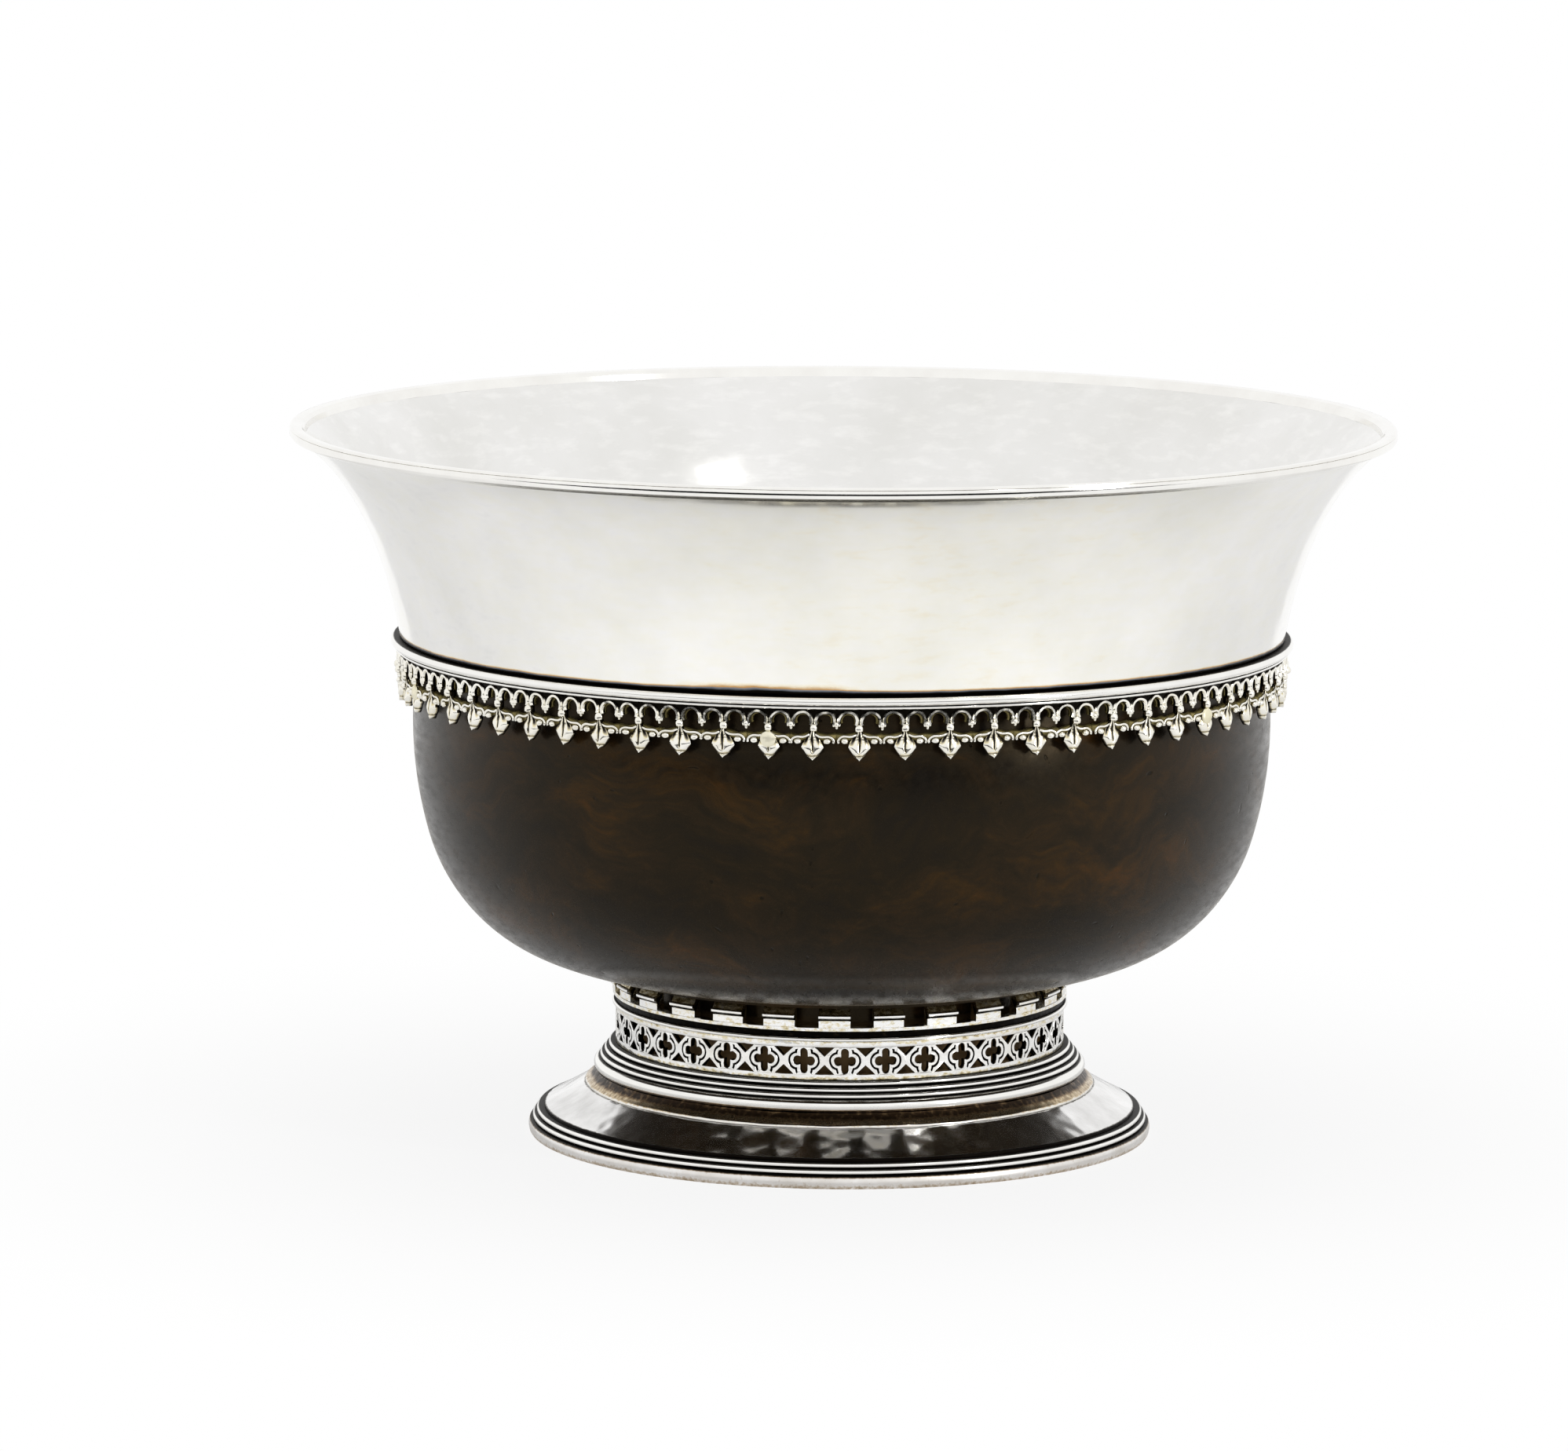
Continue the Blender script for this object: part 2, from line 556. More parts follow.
# %% [markdown]
# ## Cresting: the arcade
#
# Below the ring hangs a strip of little arches, cast in lengths. Each pair has a cusp in
# the middle and shares its outer piers with its neighbours, and each pier ends in a ball. The
# ground is a cut sheet, the mouldings are bent wire laid on it, and the ball is spun. One
# pair is modelled flat at the front and copied round, and the copies are bent a
# little out of true together, because the castings were filed by hand.

# %% Sheet, wire and copying helpers
def stand_up(curve, lines, depth_mm, closed):
    """Draw lines across and up, in mm, and stand the curve up at the front as a mesh, at a depth."""
    for line in lines:
        spline = curve.splines.new("POLY")
        spline.points.add(len(line) - 1)
        for point, (x, z) in zip(spline.points, line):
            point.co = (x * MM, z * MM, 0, 1)
        spline.use_cyclic_u = closed
    piece = bpy.data.objects.new(curve.name, curve)
    bpy.context.scene.collection.objects.link(piece)
    pick(piece)
    bpy.ops.object.convert(target="MESH")
    piece.rotation_euler.x = pi / 2
    bpy.ops.object.transform_apply(rotation=True)
    merge_and_face_out()
    piece.location.y = -depth_mm * MM
    bpy.ops.object.transform_apply(location=True)
    return piece


def cut_sheet(name, loops, back, front, edge):
    """Cut a flat sheet with the given outlines, in mm, whose later loops are its holes."""
    curve = bpy.data.curves.new(name, "CURVE")
    curve.dimensions = "2D"
    curve.fill_mode = "BOTH"
    curve.extrude = (front - back) / 2 * MM - edge * MM
    curve.bevel_depth = edge * MM
    curve.bevel_resolution = 0
    curve.offset = -edge * MM
    return stand_up(curve, loops, (front + back) / 2, closed=True)


def bend_wire(name, points, radius_mm, depth_mm):
    """Bend a round wire along points given across and up, in mm, at a depth from the axis."""
    curve = bpy.data.curves.new(name, "CURVE")
    curve.dimensions = "3D"
    curve.bevel_depth = radius_mm * MM
    curve.bevel_resolution = 1
    curve.use_fill_caps = True
    return stand_up(curve, [points], depth_mm, closed=False)


def settle_drop(stretch):
    """Stretch the drop of solder just added, apply its place and smooth it."""
    drop = bpy.context.object
    drop.scale = stretch
    apply_place(drop)
    bpy.ops.object.shade_smooth()
    return stain(drop, 0.0)


def join_pieces(name, pieces):
    """Join pieces into the first one and name it."""
    pick(*pieces)
    bpy.ops.object.join()
    pieces[0].name = name
    return pieces[0]


def copy_round(unit, name, angles, adjust=None):
    """Copy a unit from the front to angles round the axis, each with its own mesh, and join them."""
    copies = []
    for number, angle in enumerate(angles):
        pick(unit)
        bpy.ops.object.duplicate(linked=False)
        copy = bpy.context.object
        if adjust:
            adjust(copy, number)
        copy.rotation_euler.z = radians(angle)
        copies.append(copy)
    bpy.data.objects.remove(unit)
    pick(*copies)
    bpy.ops.object.transform_apply(location=True, rotation=True, scale=True)
    return join_pieces(name, copies)


# %% One pair of arches
fleur_count = 64
fleur_phase = 2.22
fleur_step = 360 / fleur_count
arcade_radius = 71.85
arch_height = 77.45
arch_opening = 1.12
arch_wire = 0.32
pier_x = arcade_radius * sin(radians(fleur_step / 2))
arch_x = pier_x / 2
arcade_top = 79.3
pier_foot = 76.7


def arch_arc(side, radius, start, end, count, shift=0.0):
    """Return points over one arch, from a start angle to an end angle in degrees."""
    angles = [radians(start + (end - start) * i / count) for i in range(count + 1)]
    return [(side * arch_x + shift + radius * cos(a), arch_height + radius * sin(a)) for a in angles]


def mirrored(points):
    """Return points mirrored across the middle, in the opposite order."""
    return [(-x, z) for x, z in reversed(points)]


def arcade_strip(name, opening, shift, back, front, level):
    """Cut the strip of one pair of arches, with one level of grime."""
    right_arch = [(pier_x, arcade_top), (pier_x, pier_foot), (pier_x - 0.42, pier_foot),
                  *arch_arc(1, opening, -25, 205, 16, shift), (0.35, pier_foot + 0.1)]
    outline = [*right_arch, (0, pier_foot), *mirrored(right_arch)]
    return stain(cut_sheet(name, [outline], back, front, 0.05), level)


# The openings are filed at a slant, so their olive back edge shows inside the black front one.
arcade_ground_radius = 71.4
arcade_bits = [arcade_strip("arcade_ground", arch_opening, 0.0, 70.9, arcade_ground_radius, 0.64),
               arcade_strip("arcade_back", arch_opening - 0.19, 0.10, 70.35, 70.95, 1.0)]
for side in (-1, 1):
    moulding = bend_wire("arch_moulding", arch_arc(side, arch_opening + arch_wire - 0.04, -24, 204, 14),
                         arch_wire, arcade_ground_radius + 0.1)
    arcade_bits.append(stain(moulding, 0.0))

# %% The ball under each pier and the cusp between two arches
ball_middle = 76.35
ball_depth = 71.6
cusp_depth = 71.5
ball_shape = [(0, 0.70), (0.36, 0.64), (0.60, 0.40), (0.69, 0.02), (0.62, -0.36), (0.36, -0.56), (0, -0.60)]
ball_profile = [(radius, ball_middle + rise) for radius, rise in ball_shape]
pier_ball = spin_round(draw_outline("pier_ball", ball_profile, closed=False), 12)
pier_ball.location = (pier_x * MM, -ball_depth * MM, 0)
apply_place(pier_ball)
arcade_bits.append(stain(pier_ball, 0.0))
cusp_drops = [(0, 76.85, 0.46), (0.02, 76.35, 0.26), (-0.42, 76.78, 0.27), (0.42, 76.78, 0.25)]
for x, z, radius in cusp_drops:
    bpy.ops.object.select_all(action="DESELECT")
    bpy.ops.mesh.primitive_ico_sphere_add(subdivisions=2, radius=radius * MM,
                                          location=(x * MM, -cusp_depth * MM, z * MM))
    arcade_bits.append(settle_drop((1.0, 1.0, 1.25)))

arcade_pair = join_pieces("arcade_pair", arcade_bits)
pair_angles = [fleur_phase + fleur_step * (place + 0.5) for place in range(fleur_count)]
arcade = copy_round(arcade_pair, "cresting_arches", pair_angles)
distort(arcade, 3.4, 2.6, 0.36)
pick(arcade)
bpy.ops.object.shade_smooth_by_angle(angle=radians(40))
finish_piece(arcade, cast_silver, "cast_silver", "cresting_arcade")

# %% [markdown]
# ## Cresting: the fleurs-de-lis
#
# Under each pier hangs a fleur: a pointed leaf with a crease down its middle and two round
# lobes, a line across near its tip, and a leaf at each side that curls round a small ball. The
# leaf starts as a grid, whose points are moved to the leaf's outline and relief, and is
# then extruded back to the plate. The copies differ a little in size and tilt.

# %% The pointed leaf
leaf_tip = 71.35
leaf_widest = 73.2
leaf_top = 75.85
leaf_half = 1.70
leaf_neck = 0.26
leaf_back = 70.6
leaf_face = 71.25
leaf_rise = 0.62


def leaf_half_width(height):
    """Return how far the leaf reaches to each side at a height."""
    if height < leaf_widest:
        share = max(0.0, height - leaf_tip) / (leaf_widest - leaf_tip)
        return 0.06 + (leaf_half - 0.06) * share ** 0.74
    share = (height - leaf_widest) / (leaf_top - leaf_widest)
    return leaf_neck + (leaf_half - leaf_neck) * (1 - share ** 1.45)


def leaf_relief(across, height):
    """Return how far the leaf stands out, where across runs from -1 to 1."""
    up = (height - leaf_tip) / (leaf_top - leaf_tip)
    swell = sin(pi * min(1.0, 0.12 + up * 1.25)) if up < 0.7 else 0.25
    lobes = (1 - abs(across) ** 3) * (0.45 + 0.55 * swell)
    crease = 0.36 * exp(-(across / 0.10) ** 2) * fade(height, leaf_tip + 0.9, leaf_tip + 1.4)
    line_across = 0.34 * exp(-((height - leaf_tip - 0.75) / 0.12) ** 2)
    veins = 0.16 * cos(across * 2.5 * pi) * fade(height, leaf_widest + 0.3, leaf_widest + 1.0)
    return leaf_rise * max(0.05, lobes - crease - line_across + veins * (1 - across ** 2))


bpy.ops.object.select_all(action="DESELECT")
bpy.ops.mesh.primitive_grid_add(x_subdivisions=16, y_subdivisions=20, size=2)
leaf = bpy.context.object
for vertex in leaf.data.vertices:
    across, up = vertex.co.x, (vertex.co.y + 1) / 2
    height = leaf_tip + (leaf_top - leaf_tip) * up
    relief = leaf_relief(across, height)
    vertex.co = (across * leaf_half_width(height) * MM, -(leaf_face + relief) * MM, height * MM)
bpy.ops.object.mode_set(mode="EDIT")
bpy.ops.mesh.select_all(action="SELECT")
bpy.ops.mesh.extrude_region_move(TRANSFORM_OT_translate={"value": (0, 0.1 * MM, 0)})
bpy.ops.object.mode_set(mode="OBJECT")
for vertex in leaf.data.vertices:
    if vertex.select:
        vertex.co.y = -leaf_back * MM
merge_and_face_out()
bpy.ops.object.shade_smooth_by_angle(angle=radians(50))


def leaf_grime(radius, height, angle):
    """Dark on the upper leaf, behind it and in its creases, bright on the lobes."""
    across = radius * sin(radians(angle)) / leaf_half_width(height)
    standing = (radius * cos(radians(angle)) - leaf_face) / leaf_rise
    strokes = fade(height, leaf_widest, leaf_widest + 1.5) * (0.30 + 0.34 * cos(across * 2.6 * pi))
    crease = 0.60 * exp(-(across / 0.08) ** 2) * fade(height, leaf_tip + 1.0, leaf_tip + 1.5)
    line_across = 0.55 * exp(-((height - leaf_tip - 0.75) / 0.11) ** 2)
    behind = 0.62 if standing < -0.05 else 0.0
    return min(0.64, max(strokes, crease, line_across, behind))


mark_grime(leaf, leaf_grime)
print("One leaf has", len(leaf.data.polygons), "faces")

# %% The curls and the plate behind them
curl_x = 2.28
curl_height = 74.3
curl_depth = 71.45
fleur_bits = [leaf]
for side in (-1, 1):
    bpy.ops.object.select_all(action="DESELECT")
    bpy.ops.mesh.primitive_uv_sphere_add(segments=12, ring_count=8, radius=0.50 * MM,
                                         location=(side * curl_x * MM, -curl_depth * MM, curl_height * MM))
    fleur_bits.append(settle_drop((1.22, 1.0, 0.9)))
    horn = [(side * (curl_x + 1.02 * cos(radians(a))), curl_height - 0.02 + 0.76 * sin(radians(a)))
            for a in range(-22, 106, 14)]
    horn += [(side * x, z) for x, z in ((1.55, 74.98), (1.05, 75.05), (0.45, 75.35))]
    fleur_bits.append(stain(bend_wire("curl_horn", horn, 0.22, 71.4), 0.0))
backing_right = [(1.0, 75.0), (curl_x, 74.72), (pier_x + 0.12, 74.95)]
backing = bend_wire("fleur_backing", [*mirrored(backing_right), (0, 75.3), *backing_right], 0.62, 70.7)
fleur_bits.append(stain(backing, 1.0))
stem = bend_wire("fleur_stem", [(0, 76.8), (0, 75.4)], 0.45, 70.95)
fleur_bits.append(stain(stem, 0.6))
fleur = join_pieces("fleur", fleur_bits)

chance = random.Random(11)


def hand_cast(copy, number):
    """Make each casting a little different in size, height and tilt."""
    copy.scale.x = 1 + chance.uniform(-0.05, 0.05)
    copy.location.x = chance.uniform(-0.18, 0.18) * MM
    height_change = 0.1 * chance.uniform(-0.04, 0.03)
    copy.scale.z = 1 + height_change
    copy.location.z = -leaf_top * height_change * MM
    copy.rotation_euler.y = radians(chance.uniform(-0.06, 0.06))


fleur_angles = [fleur_phase + fleur_step * place for place in range(fleur_count)]
fleurs = copy_round(fleur, "cresting_fleur_row", fleur_angles, hand_cast)
distort(fleurs, 2.3, 3.1, 0.30)
finish_piece(fleurs, cast_silver, "cast_silver", "cresting_fleurs")

# %% Pins through six of the fleurs
pin_height = 74.5
pin_radius = 1.3
pin_base = 71.6
pin_rise = 0.6
pin_section = [(0, 0), (pin_radius * 0.92, 0), (pin_radius, 0.14), (pin_radius * 0.93, 0.34),
               (pin_radius * 0.72, 0.48), (pin_radius * 0.4, 0.57), (0, pin_rise)]
pin = spin_round(draw_outline("pin", pin_section, closed=False), 20)
pin.rotation_euler.x = pi / 2
pin.location = (0, -pin_base * MM, pin_height * MM)
apply_place(pin)
pin_count = 6
pin_places = [round(number * fleur_count / pin_count) - 2 for number in range(pin_count)]
pins = copy_round(pin, "rivet_heads", [fleur_phase + fleur_step * place for place in pin_places])
dent(pins, "CLOUDS", 0.8, 0.25)
stain(pins, 0.0)
finish_piece(pins, peened_silver, "cast_silver", "rim_pins")

# %% [markdown]
# ## The battlement
#
# The wood sits in a collar cut like a battlement. Every merlon has a sloping top, a small
# roll with a cut line under it, and a plain face. A merlon is a section spun by a few
# degrees and closed at its ends, and all stand on one spun sill.

# %% Merlons and sill
collar_radius = 36.85
collar_inner = 35.4
collar_bottom = 22.55
collar_sill = 23.3
collar_bead = 37.45
bead_middle = 25.05
cut_line = 24.5
crenel_count = 26
crenel_step = 360 / crenel_count
crenel_phase = 5.5
crenel_width = 3.7
merlon_turn = crenel_step - crenel_width / radians(collar_radius)
merlon_section = [
    (collar_inner, collar_sill - 0.05), (collar_radius, collar_sill - 0.05), (collar_radius, cut_line - 0.14),
    (collar_radius - 0.35, cut_line - 0.06), (collar_radius - 0.35, cut_line + 0.06),
    (collar_radius + 0.1, cut_line + 0.15), (collar_bead - 0.1, bead_middle - 0.28),
    (collar_bead, bead_middle - 0.16), (collar_bead, bead_middle + 0.12),
    (collar_bead - 0.12, bead_middle + 0.26), (collar_radius + 0.1, bead_middle + 0.34),
    (collar_radius - 0.5, seat_height - 0.05),
    (collar_inner, seat_height - 0.05),
]
merlon = spin_round(draw_outline("merlon", merlon_section), 8, merlon_turn)
merlon.rotation_euler.z = radians(-90 + merlon_turn / 2)
apply_place(merlon)
rounding = merlon.modifiers.new("filed_edges", "BEVEL")
rounding.width = 0.16 * MM
rounding.segments = 2
rounding.limit_method = "ANGLE"
rounding.angle_limit = radians(70)
bpy.ops.object.modifier_apply(modifier=rounding.name)


def merlon_grime(radius, height, angle):
    """Black in the cut line, grey on the sloping top, and yellow solder low on the face."""
    if abs(height - cut_line) < 0.12 and radius < collar_radius - 0.1:
        return 0.8
    if height > bead_middle + 0.25:
        return 0.40
    return 0.22 if height < cut_line else 0.0


mark_grime(merlon, merlon_grime)


def hand_sawn(copy, number):
    """Make each merlon a little wider or narrower."""
    copy.scale.x = 1 + chance.uniform(-0.07, 0.05)
    copy.location.x = chance.uniform(-0.12, 0.12) * MM


merlon_angles = [crenel_phase + crenel_step * (place + 0.5) for place in range(crenel_count)]
merlons = copy_round(merlon, "merlon_row", merlon_angles, hand_sawn)
sill_section = [(collar_inner, collar_bottom), (collar_radius - 0.15, collar_bottom),
                (collar_radius, collar_bottom + 0.15), (collar_radius, collar_sill - 0.1),
                (collar_radius - 0.1, collar_sill), (collar_inner, collar_sill)]
sill = spin_round(draw_outline("sill", sill_section), 256)
mark_grime(sill, lambda radius, height, angle: 0.24 if height > collar_bottom + 0.1 else 0.8)
battlement = join_pieces("battlement", [sill, merlons])
dent(battlement, "CLOUDS", 2.2, 0.10)
finish_piece(battlement, sawn_silver, "cast_silver", "battlement_collar")

# %% [markdown]
# ## The pierced band
#
# Under the battlement the wood's spigot shows through a band sawn with four-lobed holes,
# with three-cornered ones between. An engraved line follows each hole and breaks at the
# top and bottom. The band is two layers: an inner sheet with the holes, which shows black in the
# engraved lines, and a front sheet cut by both. The layers are drawn flat, then bent round the neck.

# %% Four-lobed outlines
foil_count = 35
foil_phase = 1.4
foil_step = 360 / foil_count
foil_height = 17.85
side_lobe = (1.05, 0.70)
tall_lobe = (1.40, 0.62)
slot_half = 0.60
unit_half = neck_radius * radians(foil_step) / 2
triangle_height = 1.5
triangle_half = 1.6
frame_half = 2.22


def lobe_reach(angle, grow):
    """Return how far the four-lobed hole, grown by some mm, reaches from its middle at an angle."""
    upright = (slot_half + grow) / max(abs(cos(angle)), 0.01)
    level = (slot_half + grow) / max(abs(sin(angle)), 0.01)
    reach = max(min(upright, tall_lobe[0] / max(abs(sin(angle)), 0.01)),
                min(level, side_lobe[0] / max(abs(cos(angle)), 0.01)))
    for quarter, (offset, radius) in enumerate([side_lobe, tall_lobe] * 2):
        off_axis = angle - quarter * pi / 2
        inside = (radius + grow) ** 2 - (offset * sin(off_axis)) ** 2
        if inside > 0:
            reach = max(reach, offset * cos(off_axis) + sqrt(inside))
    return reach


def lobe_line(grow, low, high, count):
    """Return points along the hole's outline, grown by some mm, between two angles in degrees."""
    points = []
    for i in range(count):
        angle = radians(low + (high - low) * i / (count - 1))
        reach = lobe_reach(angle, grow)
        points.append((reach * cos(angle), foil_height + reach * sin(angle)))
    return points


def engraved_bracket(side):
    """Return the outline of the engraved line at one side of a hole."""
    outline = lobe_line(0.50, -62, 62, 17) + lobe_line(0.80, 60, -60, 17)
    return [(side * x, z) for x, z in outline]


hole_height, hole_width = (round(2 * lobe_reach(angle, 0), 2) for angle in (pi / 2, 0))
print("The hole is", hole_height, "mm tall and", hole_width, "mm wide")

# %% Saw the two sheets and bend them round the neck
flank = unit_half - triangle_half
frame_top = foil_height + frame_half
frame_bottom = foil_height - frame_half
overlap = 0.07
hole = lobe_line(0, 0, 354, 60)
panel_quarter = [(flank, frame_top), (unit_half, frame_top - triangle_height),
                 (unit_half + overlap, frame_top - triangle_height)]
panel = panel_quarter + [(x, 2 * foil_height - z) for x, z in reversed(panel_quarter)]
panel += mirrored(panel)
panel += [(-flank * share, frame_top) for share in (0.5, 0.0, -0.5)]
inner_panel = cut_sheet("pierced_inner", [panel, hole], collar_inner, neck_radius - 0.28, 0.02)
stain(inner_panel, 0.8)
front_panel = cut_sheet("pierced_front", [panel, hole, engraved_bracket(1), engraved_bracket(-1)],
                        neck_radius - 0.30, neck_radius, 0.05)
stain(front_panel, 0.10)
pierced_unit = join_pieces("pierced_unit", [inner_panel, front_panel])


def bend_round(piece):
    """Bend a flat piece round the neck, keeping its heights."""
    for vertex in piece.data.vertices:
        radius = -vertex.co.y
        angle = vertex.co.x / (neck_radius * MM)
        vertex.co.x = radius * sin(angle)
        vertex.co.y = -radius * cos(angle)


def border_grime(radius, height, angle):
    """Black under the collar, and stained away from the holes."""
    if height > 20.9:
        return 0.8
    return 0.10 + 0.22 * fade(abs(height - foil_height), frame_half, frame_half + 0.7)


bend_round(pierced_unit)
foil_angles = [foil_phase + foil_step * place for place in range(foil_count)]
pierced = copy_round(pierced_unit, "pierced_panels", foil_angles)
border_rings = []
band_bottom = 14.8
for name, bottom, top in (("upper_border", frame_top - 0.03, collar_bottom),
                          ("lower_border", band_bottom, frame_bottom + 0.03)):
    rise = (top - bottom) / 6
    section = [(collar_inner, top), (collar_inner, bottom), (neck_radius - 0.06, bottom)]
    section += [(neck_radius, bottom + rise * step) for step in (0.3, 1, 2, 3, 4, 5, 5.7)]
    section += [(neck_radius - 0.06, top)]
    border = spin_round(draw_outline(name, section), 320)
    mark_grime(border, border_grime)
    border_rings.append(border)
pierced = join_pieces("pierced_neck_band", [pierced, *border_rings])
distort(pierced, 1.3, 1.3, 0.16)
pick(pierced)
bpy.ops.object.shade_smooth_by_angle(angle=radians(32))
finish_piece(pierced, sawn_silver, "cast_silver", "pierced_band")

# %% [markdown]
# ## The foot
#
# A hollow moulding under the torus, a hammered skirt that spreads from it, and a flat base ring.
# The skirt is polished sheet, so it mirrors the dark wood above it with ragged edges, while
# the hollow moulding and the base are dull and stained.

# %% Step moulding, skirt and base
def hollow_run(start, end, radius, count):
    """Return points on the hollow arc between two points, which bends away from the axis."""
    span = hypot(end[0] - start[0], end[1] - start[1])
    along = ((end[0] - start[0]) / span, (end[1] - start[1]) / span)
    across = (along[1], -along[0])
    points = []
    for i in range(count + 1):
        share = i / count
        sag = sqrt(radius ** 2 - ((share - 0.5) * span) ** 2) - sqrt(radius ** 2 - (span / 2) ** 2)
        x = start[0] + along[0] * span * share + across[0] * sag
        z = start[1] + along[1] * span * share + across[1] * sag
        points.append((x, z))
    return points


step_radius = 41.3
step_bottom = 8.0
step_edge = 0.35
step_top = (39.4, 10.05)
cove = hollow_run(step_top, (step_radius - 0.05, step_bottom + step_edge), 9.0, 10)
step_section = [(neck_radius, step_top[1]), (neck_radius, step_bottom), (step_radius, step_bottom),
                (step_radius, step_bottom + 0.7 * step_edge), *reversed(cove)]
step = spin_round(draw_outline("hollow_step", step_section), 320)
dent(step, "CLOUDS", 1.5, 0.12)
dent(step, "CLOUDS", 7.0, 0.35, "Z")


def step_grime(radius, height, angle):
    """Stained in the hollow, and darkest under the torus."""
    return 0.14 + 0.24 * fade(height, 8.2, 8.5) + 0.26 * fade(height, 8.8, 9.4)


mark_grime(step, step_grime)
finish_piece(step, cove_silver, "dull_silver", "step_moulding")

skirt_start = (step_radius + 0.1, step_bottom)
skirt_edge = (47.9, 4.35)
skirt_bottom_edge = 3.95
skirt_edge_width = 1.3
skirt_hollow = 80.0
under_end = (step_radius - 0.5, step_bottom - 1.1)
tube_inner = 35.4
skirt_top_run = hollow_run(skirt_start, skirt_edge, skirt_hollow, 16)
under_edge = (skirt_edge[0] - skirt_edge_width, skirt_bottom_edge)
skirt_under_run = hollow_run(under_end, under_edge, skirt_hollow, 12)
skirt_section = [
    *skirt_top_run, (skirt_edge[0], skirt_bottom_edge), *reversed(skirt_under_run),
    (tube_inner, under_end[1]), (tube_inner, band_bottom), (neck_radius, band_bottom),
    (neck_radius, step_bottom),
]
foot_sheet = spin_round(draw_outline("hammered_foot", skirt_section), 480)
dent(foot_sheet, "CLOUDS", 11.0, 0.26)
dent(foot_sheet, "VORONOI", 3.2, 0.10)


def skirt_grime(radius, height, angle):
    """Black in the neck tube, and dark where the skirt meets the step and the base."""
    if radius < 37:
        return 0.95
    return 0.75 * fade(radius, 47.6, 47.9) + 0.5 * (1 - fade(radius, 41.4, 41.8))


mark_grime(foot_sheet, skirt_grime)
finish_piece(foot_sheet, skirt_silver, "planished_silver", "foot_skirt")

base_radius = 50.5
base_height = 1.95
base_corner = base_radius - 0.3
base_inner = 47.0
base_rim = [(base_corner, 0.0), (base_radius - 0.1, 0.3), (base_radius, 0.8), (base_radius, 1.15),
            (base_radius - 0.1, 1.65), (base_corner, base_height)]
base_section = [*base_rim, (base_wall_radius, base_height), (base_wall_radius, skirt_bottom_edge),
                under_edge, (base_inner, 0.0)]
base = spin_round(draw_outline("base_ring", base_section), 480)


def base_grime(radius, height, angle):
    """Black on the wall behind the two wires, stained where the base meets the table."""
    if height > 1.9:
        return 0.9
    return 0.12 if height > 0.5 else 0.3


mark_grime(base, base_grime)
finish_piece(base, dull_silver, "dull_silver", "base_band")

# %% [markdown]
# ## Inside the bowl
#
# A mazer has a disc in the middle of its floor, called the print, which hides the end of
# the stud that holds the foot. This one is a plain dome. The stud, its washer and nut and
# the plate under the wood keep their CAD shapes and get a worn silver.

# %% Print and fixings
print_edge_top = floor_height + 0.9
print_rise = 2.4
ball = (print_radius ** 2 + print_rise ** 2) / (2 * print_rise)
dome = []
dome_steps = 16
for i in range(1, dome_steps + 1):
    radius = print_radius * (1 - i / dome_steps)
    dome.append((radius, print_edge_top + print_rise - ball + sqrt(ball ** 2 - radius ** 2)))
print_section = [(0, floor_height), (print_radius, floor_height), (print_radius, print_edge_top), *dome]
print_disc = spin_round(draw_outline("print_disc", print_section, closed=False), 160)
finish_piece(print_disc, planished_silver, "planished_silver", "print_boss")

for node in ("foot_plate", "fixing_stud", "fixing_washer", "fixing_nut"):
    for material_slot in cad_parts[node].material_slots:
        material_slot.material = dull_silver
print("The fixings keep their CAD shapes")

# %% [markdown]
# ## Studio
#
# The bowl stands on a disc of white paper in a white room, with a small lamp high at the
# right front and a tall strip lamp low at the right, which draws the long glints down the
# silver. The room beyond the front edge of the table is dark, as a studio behind a camera
# is, and the waxed wood needs that dark to look deep. A black cloth lies there, out of the
# camera's sight. The paper glows a little where the camera or the polished silver sees it,
# and less beside the foot, so that it looks white and still keeps the bowl's soft shadow.

# %% Paper and cloth
def lay_on_stage(name, material):
    """Name the flat sheet just added, give it its material and mark it as part of the stage."""
    flat = bpy.context.object
    flat.name = name
    bpy.ops.object.transform_apply(location=True)
    flat.data.materials.append(material)
    return flat


paper, tree = start_material("matt_white_paper")
paper_sheet = add_node(tree, "BsdfPrincipled",
                       {"Base Color": from_hex("#F8F8F8"), "Roughness": 0.9, "Specular IOR Level": 0.1})
paper_white = add_node(tree, "Emission", {"Color": from_hex("#FFFFFF"), "Strength": 1.0})
paper_ray = add_node(tree, "LightPath")
paper_place = add_node(tree, "TexCoord").outputs["Object"]
paper_reach = add_node(tree, "VectorMath", {"operation": "LENGTH"}, {0: paper_place})
paper_blend = add_node(tree, "MapRange", {"From Min": 0.06, "From Max": 0.19, "To Min": 0.84, "To Max": 1.0,
                        "interpolation_type": "SMOOTHSTEP"}, {"Value": paper_reach.outputs["Value"]})
mirror_blend = add_node(tree, "MapRange",
                        {"From Min": 0.08, "From Max": 0.23, "To Min": 0.58, "To Max": 0.96,
                         "interpolation_type": "SMOOTHSTEP"}, {"Value": paper_reach.outputs["Value"]})
paper_share = add_node(tree, "Math", {"operation": "MULTIPLY"},
                       {0: paper_ray.outputs["Is Camera Ray"], 1: paper_blend})
paper_axes = add_node(tree, "SeparateXYZ", None, {"Vector": paper_place})
mirror_front = add_node(tree, "MapRange",
                        {"From Min": 0.06, "From Max": -0.16, "To Min": 0.30, "To Max": 1.0},
                        {"Value": paper_axes.outputs["Y"]})
mirror_white = add_node(tree, "Math", {"operation": "MULTIPLY"}, {0: mirror_blend, 1: mirror_front})
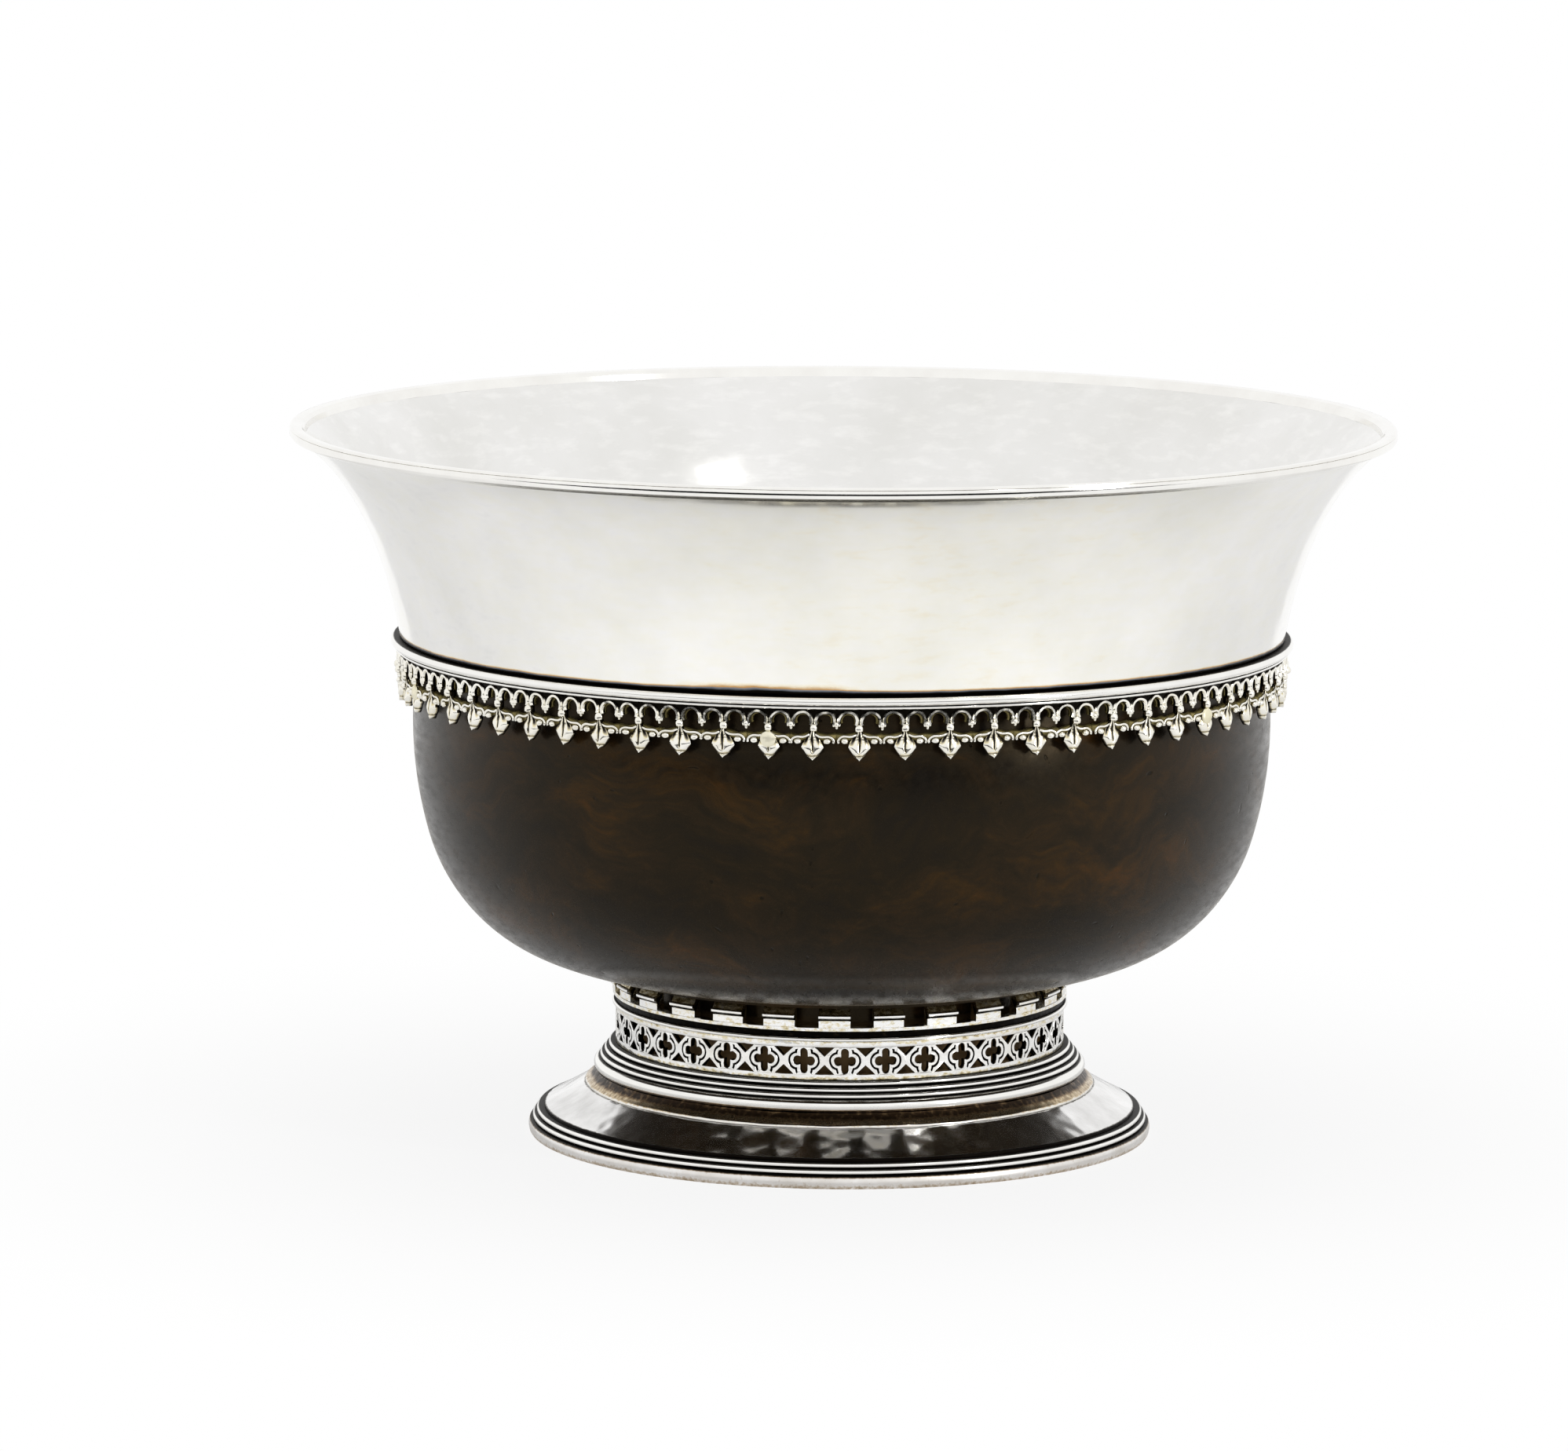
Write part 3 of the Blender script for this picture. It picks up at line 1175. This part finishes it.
mirror_share = add_node(tree, "Math", {"operation": "MULTIPLY_ADD"},
                        {0: paper_ray.outputs["Is Glossy Ray"], 1: mirror_white, 2: paper_share})
through_share = add_node(tree, "Math", {"operation": "MAXIMUM"},
                         {0: mirror_share, 1: paper_ray.outputs["Is Transmission Ray"]})
paper_surface = add_node(tree, "MixShader", None, {0: through_share, 1: paper_sheet, 2: paper_white})
add_node(tree, "OutputMaterial", None, {"Surface": paper_surface})
paper_radius = 0.40
bpy.ops.object.select_all(action="DESELECT")
bpy.ops.mesh.primitive_circle_add(vertices=96, radius=paper_radius, fill_type="NGON")
lay_on_stage("paper", paper)

black_cloth, tree = start_material("black_cloth")
cloth_surface = add_node(tree, "BsdfPrincipled",
                         {"Base Color": from_hex("#0A0A0A"), "Roughness": 1.0, "Specular IOR Level": 0.0})
add_node(tree, "OutputMaterial", None, {"Surface": cloth_surface})
bpy.ops.object.select_all(action="DESELECT")
bpy.ops.mesh.primitive_plane_add(size=2.6, location=(0, -1.66, -0.004))
dark_front = lay_on_stage("dark_front", black_cloth)
dark_front.visible_camera = False
dark_front.visible_diffuse = False
dark_front.visible_shadow = False

# %% White room and lamps
room = bpy.data.worlds.new("white_room")
bpy.context.scene.world = room
room.use_nodes = True
tree = room.node_tree
tree.nodes.clear()
ray = add_node(tree, "LightPath")
seen = add_node(tree, "Math", {"operation": "MAXIMUM"},
                {0: ray.outputs["Is Camera Ray"], 1: ray.outputs["Is Glossy Ray"]})
seen_or_through = add_node(tree, "Math", {"operation": "MAXIMUM"},
                           {0: seen, 1: ray.outputs["Is Transmission Ray"]})
dome_light = add_node(tree, "Background", {"Color": from_hex("#FFFFFF"), "Strength": 0.75})
backdrop = add_node(tree, "Background", {"Color": from_hex("#FFFFFF"), "Strength": 1.0})
mixed = add_node(tree, "MixShader", None, {0: seen_or_through, 1: dome_light, 2: backdrop})
add_node(tree, "OutputWorld", None, {"Surface": mixed})


def soft_lamp(name, azimuth, elevation, distance, width, height, energy):
    """Aim an area lamp at the bowl, from degrees to the right of the front and degrees up."""
    lamp_data = bpy.data.lights.new(name, "AREA")
    lamp_data.shape = "RECTANGLE"
    lamp_data.size = width
    lamp_data.size_y = height
    lamp_data.energy = energy
    lamp = bpy.data.objects.new(name, lamp_data)
    bpy.context.scene.collection.objects.link(lamp)
    turn = Matrix.Rotation(radians(azimuth), 4, "Z") @ Matrix.Rotation(radians(90 - elevation), 4, "X")
    lamp.matrix_world = Matrix.Translation((0, 0, 0.05)) @ turn @ Matrix.Translation((0, 0, distance))
    return lamp


lamps = [
    soft_lamp("high_lamp", azimuth=37, elevation=41, distance=1.3, width=0.06, height=0.06, energy=0.6),
    soft_lamp("strip_lamp", azimuth=52, elevation=12, distance=1.2, width=0.15, height=0.66, energy=2.6),
]
for lamp in lamps:
    print(lamp.name, "at", [round(v, 2) for v in lamp.matrix_world.translation])
